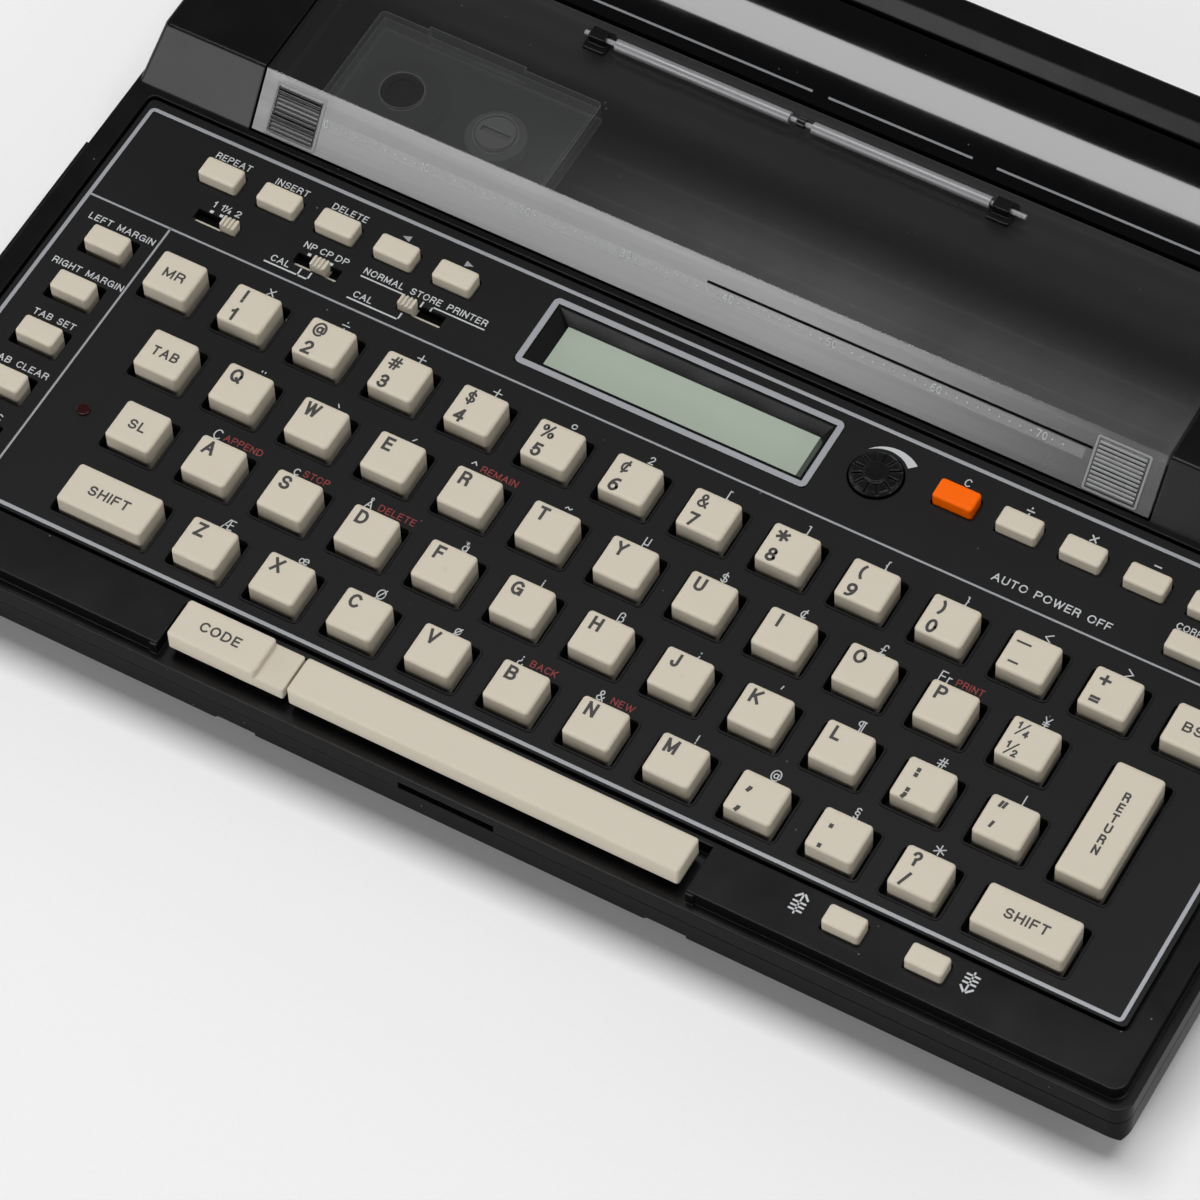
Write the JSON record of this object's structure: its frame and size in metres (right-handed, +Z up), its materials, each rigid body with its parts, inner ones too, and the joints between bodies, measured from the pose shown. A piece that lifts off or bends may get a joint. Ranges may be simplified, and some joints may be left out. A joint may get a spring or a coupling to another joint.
{
  "type": "portable electronic typewriter",
  "caption": "Portable electronic typewriter with a full keyboard, small display, clear hinged print cover, ribbon carriage and roller platen.",
  "frame": {"origin": "middle of the footprint, on the table under the rubber feet", "axes": "+X to the typist's right, +Y to the rear, +Z up"},
  "size_m": [0.3152, 0.2286, 0.0389],
  "materials": {
    "case_black": "fine-textured black case plastic",
    "panel_black": "coarser textured black panel",
    "key_cream": "smooth cream key plastic",
    "key_orange": "smooth orange key plastic",
    "bezel_black": "glossy black bezel with a silver edge",
    "lcd_glass": "grey-green display glass",
    "lamp_red": "red lens",
    "knob_black": "moulded black",
    "smoked_clear": "smoked see-through acrylic",
    "gloss_black": "polished black plastic",
    "bright_steel": "bright rod",
    "rod_dark": "blued guide rod",
    "sheet_steel": "zinc-plated sheet",
    "motor_steel": "drawn motor can",
    "platen_rubber": "ground black rubber",
    "nylon_white": "natural nylon",
    "inner_black": "plain inner moulding",
    "head_metal": "machined head block",
    "cassette_clear": "clear cassette shell",
    "ribbon_black": "wound film ribbon",
    "board_green": "lacquered circuit board",
    "silicone_grey": "moulded silicone",
    "belt_black": "drive belt",
    "cell_wrap": "cell with a plain sleeve",
    "foot_rubber": "rubber foot",
    "screw_steel": "blackened screw"
  },
  "bodies": {
    "base": {"bottom_case": "case_black", "top_case": "case_black", "keyboard_panel": "panel_black", "key_guide_plate": "inner_black", "contact_sheet": "silicone_grey", "main_board": "board_green", "display_bezel": "bezel_black", "display_panel": "lcd_glass", "power_lamp": "lamp_red", "cover_hinge_pins": "bright_steel", "paper_guide": "gloss_black", "feed_motor": "motor_steel", "carriage_frame": "inner_black", "carriage_rods": "rod_dark", "carriage_motor": "motor_steel", "drive_belt": "belt_black", "batteries": "cell_wrap", "rubber_feet": "foot_rubber", "case_screws": "screw_steel", "dc_jack": "knob_black"},
    "cover": {"print_cover": "smoked_clear", "bail_shaft": "bright_steel", "bail_clips": "knob_black"},
    "left_roller": {"bail_roller_left": "bright_steel"},
    "right_roller": {"bail_roller_right": "bright_steel"},
    "platen": {"platen_roller": "platen_rubber", "platen_gear": "nylon_white"},
    "pinion": {"feed_pinion": "nylon_white"},
    "carriage": {"carriage_block": "inner_black", "print_head": "head_metal"},
    "cassette": {"ribbon_cassette": "cassette_clear"},
    "supply": {"supply_spool": "ribbon_black"},
    "takeup": {"takeup_spool": "nylon_white"},
    "drive_wheel": {"drive_pulley": "nylon_white"},
    "idler_wheel": {"idler_pulley": "nylon_white"},
    "dial": {"contrast_dial": "knob_black"},
    "line_space": {"line_space_slider": "key_cream"},
    "pitch": {"pitch_slider": "key_cream"},
    "mode": {"mode_slider": "key_cream"},
    "door": {"battery_door": "case_black"},
    "number_keys_body": {"number_keys": "key_cream"},
    "upper_letter_keys_body": {"upper_letter_keys": "key_cream"},
    "home_letter_keys_body": {"home_letter_keys": "key_cream"},
    "lower_letter_keys_body": {"lower_letter_keys": "key_cream"},
    "mr_key_body": {"mr_key": "key_cream"},
    "backspace_key_body": {"backspace_key": "key_cream"},
    "tab_key_body": {"tab_key": "key_cream"},
    "shift_lock_key_body": {"shift_lock_key": "key_cream"},
    "return_key_body": {"return_key": "key_cream"},
    "left_shift_key_body": {"left_shift_key": "key_cream"},
    "right_shift_key_body": {"right_shift_key": "key_cream"},
    "edit_keys_body": {"edit_keys": "key_cream"},
    "margin_keys_body": {"margin_keys": "key_cream"},
    "clear_key_body": {"clear_key": "key_orange"},
    "calculator_keys_body": {"calculator_keys": "key_cream"},
    "correct_key_body": {"correct_key": "key_cream"},
    "paper_up_key_body": {"paper_up_key": "key_cream"},
    "paper_down_key_body": {"paper_down_key": "key_cream"},
    "code_key_body": {"code_key": "key_cream"},
    "space_bar_body": {"space_bar": "key_cream"}
  },
  "joints": [
    {"name": "cover_swing", "type": "hinge", "parent": "base", "child": "cover", "pos_m": [0, 0.0693, 0.03465], "axis": [-1, 0, 0], "range_deg": [0, 100]},
    {"name": "left_roller_spin", "type": "hinge", "parent": "cover", "child": "left_roller", "pos_m": [-0.03715, 0.0645, 0.03745], "axis": [1, 0, 0], "continuous": true},
    {"name": "right_roller_spin", "type": "hinge", "parent": "cover", "child": "right_roller", "pos_m": [0.0124, 0.0645, 0.03745], "axis": [1, 0, 0], "continuous": true},
    {"name": "platen_spin", "type": "hinge", "parent": "base", "child": "platen", "pos_m": [0, 0.0668, 0.023], "axis": [1, 0, 0], "continuous": true},
    {"name": "pinion_spin", "type": "hinge", "parent": "base", "child": "pinion", "pos_m": [-0.1305, 0.07906, 0.0195], "axis": [1, 0, 0], "continuous": true},
    {"name": "carriage_travel", "type": "slide", "parent": "base", "child": "carriage", "axis": [1, 0, 0], "range_m": [-0.007, 0.148]},
    {"name": "cassette_lift", "type": "slide", "parent": "carriage", "child": "cassette", "axis": [0, 0, 1], "range_m": [0, 0.004]},
    {"name": "supply_spin", "type": "hinge", "parent": "cassette", "child": "supply", "pos_m": [-0.0985, 0.0366, 0.026], "axis": [0, 0, 1], "continuous": true},
    {"name": "takeup_spin", "type": "hinge", "parent": "cassette", "child": "takeup", "pos_m": [-0.0741, 0.036, 0.026], "axis": [0, 0, 1], "continuous": true},
    {"name": "drive_wheel_spin", "type": "hinge", "parent": "base", "child": "drive_wheel", "pos_m": [0.108, 0.03, 0.01], "axis": [0, 0, 1], "range_deg": [-1605, 80]},
    {"name": "idler_wheel_spin", "type": "hinge", "parent": "base", "child": "idler_wheel", "pos_m": [-0.1155, 0.03, 0.01], "axis": [0, 0, 1], "range_deg": [-1605, 80]},
    {"name": "contrast_turn", "type": "hinge", "parent": "base", "child": "dial", "pos_m": [0.0417, -0.0024, 0.022], "axis": [0, 0, 1], "range_deg": [-140, 140]},
    {"name": "line_space_travel", "type": "slide", "parent": "base", "child": "line_space", "axis": [1, 0, 0], "range_m": [-0.0052, 0]},
    {"name": "pitch_travel", "type": "slide", "parent": "base", "child": "pitch", "axis": [1, 0, 0], "range_m": [-0.00255, 0.00255]},
    {"name": "mode_travel", "type": "slide", "parent": "base", "child": "mode", "axis": [1, 0, 0], "range_m": [0, 0.0052]},
    {"name": "door_travel", "type": "slide", "parent": "base", "child": "door", "axis": [1, 0, 0], "range_m": [0, 0.052]},
    {"name": "number_keys_press", "type": "slide", "parent": "base", "child": "number_keys_body", "axis": [0, 0, -1], "range_m": [0, 0.003], "stiffness_N_per_m": 1800, "springref_m": -0.002},
    {"name": "upper_letter_keys_press", "type": "slide", "parent": "base", "child": "upper_letter_keys_body", "axis": [0, 0, -1], "range_m": [0, 0.003], "stiffness_N_per_m": 1650, "springref_m": -0.002},
    {"name": "home_letter_keys_press", "type": "slide", "parent": "base", "child": "home_letter_keys_body", "axis": [0, 0, -1], "range_m": [0, 0.003], "stiffness_N_per_m": 1650, "springref_m": -0.002},
    {"name": "lower_letter_keys_press", "type": "slide", "parent": "base", "child": "lower_letter_keys_body", "axis": [0, 0, -1], "range_m": [0, 0.003], "stiffness_N_per_m": 1500, "springref_m": -0.002},
    {"name": "mr_key_press", "type": "slide", "parent": "base", "child": "mr_key_body", "axis": [0, 0, -1], "range_m": [0, 0.003], "stiffness_N_per_m": 150, "springref_m": -0.002},
    {"name": "backspace_key_press", "type": "slide", "parent": "base", "child": "backspace_key_body", "axis": [0, 0, -1], "range_m": [0, 0.003], "stiffness_N_per_m": 150, "springref_m": -0.002},
    {"name": "tab_key_press", "type": "slide", "parent": "base", "child": "tab_key_body", "axis": [0, 0, -1], "range_m": [0, 0.003], "stiffness_N_per_m": 150, "springref_m": -0.002},
    {"name": "shift_lock_key_press", "type": "slide", "parent": "base", "child": "shift_lock_key_body", "axis": [0, 0, -1], "range_m": [0, 0.003], "stiffness_N_per_m": 150, "springref_m": -0.002},
    {"name": "return_key_press", "type": "slide", "parent": "base", "child": "return_key_body", "axis": [0, 0, -1], "range_m": [0, 0.003], "stiffness_N_per_m": 300, "springref_m": -0.002},
    {"name": "left_shift_key_press", "type": "slide", "parent": "base", "child": "left_shift_key_body", "axis": [0, 0, -1], "range_m": [0, 0.003], "stiffness_N_per_m": 300, "springref_m": -0.002},
    {"name": "right_shift_key_press", "type": "slide", "parent": "base", "child": "right_shift_key_body", "axis": [0, 0, -1], "range_m": [0, 0.003], "stiffness_N_per_m": 300, "springref_m": -0.002},
    {"name": "edit_keys_press", "type": "slide", "parent": "base", "child": "edit_keys_body", "axis": [0, 0, -1], "range_m": [0, 0.0017], "stiffness_N_per_m": 750, "springref_m": -0.002},
    {"name": "margin_keys_press", "type": "slide", "parent": "base", "child": "margin_keys_body", "axis": [0, 0, -1], "range_m": [0, 0.0017], "stiffness_N_per_m": 750, "springref_m": -0.002},
    {"name": "clear_key_press", "type": "slide", "parent": "base", "child": "clear_key_body", "axis": [0, 0, -1], "range_m": [0, 0.0017], "stiffness_N_per_m": 150, "springref_m": -0.002},
    {"name": "calculator_keys_press", "type": "slide", "parent": "base", "child": "calculator_keys_body", "axis": [0, 0, -1], "range_m": [0, 0.0017], "stiffness_N_per_m": 600, "springref_m": -0.002},
    {"name": "correct_key_press", "type": "slide", "parent": "base", "child": "correct_key_body", "axis": [0, 0, -1], "range_m": [0, 0.0017], "stiffness_N_per_m": 150, "springref_m": -0.002},
    {"name": "paper_up_key_press", "type": "slide", "parent": "base", "child": "paper_up_key_body", "axis": [0, 0, -1], "range_m": [0, 0.0017], "stiffness_N_per_m": 150, "springref_m": -0.002},
    {"name": "paper_down_key_press", "type": "slide", "parent": "base", "child": "paper_down_key_body", "axis": [0, 0, -1], "range_m": [0, 0.0017], "stiffness_N_per_m": 150, "springref_m": -0.002},
    {"name": "code_key_press", "type": "slide", "parent": "base", "child": "code_key_body", "axis": [0, 0, -1], "range_m": [0, 0.0025], "stiffness_N_per_m": 150, "springref_m": -0.002},
    {"name": "space_bar_press", "type": "slide", "parent": "base", "child": "space_bar_body", "axis": [0, 0, -1], "range_m": [0, 0.0025], "stiffness_N_per_m": 300, "springref_m": -0.002}
  ],
  "couplings": [
    {"joint": "pinion_spin", "follows": "platen_spin", "ratio": -3},
    {"joint": "drive_wheel_spin", "follows": "carriage_travel", "rad_per_m": -188.68},
    {"joint": "idler_wheel_spin", "follows": "carriage_travel", "rad_per_m": -188.68}
  ]
}
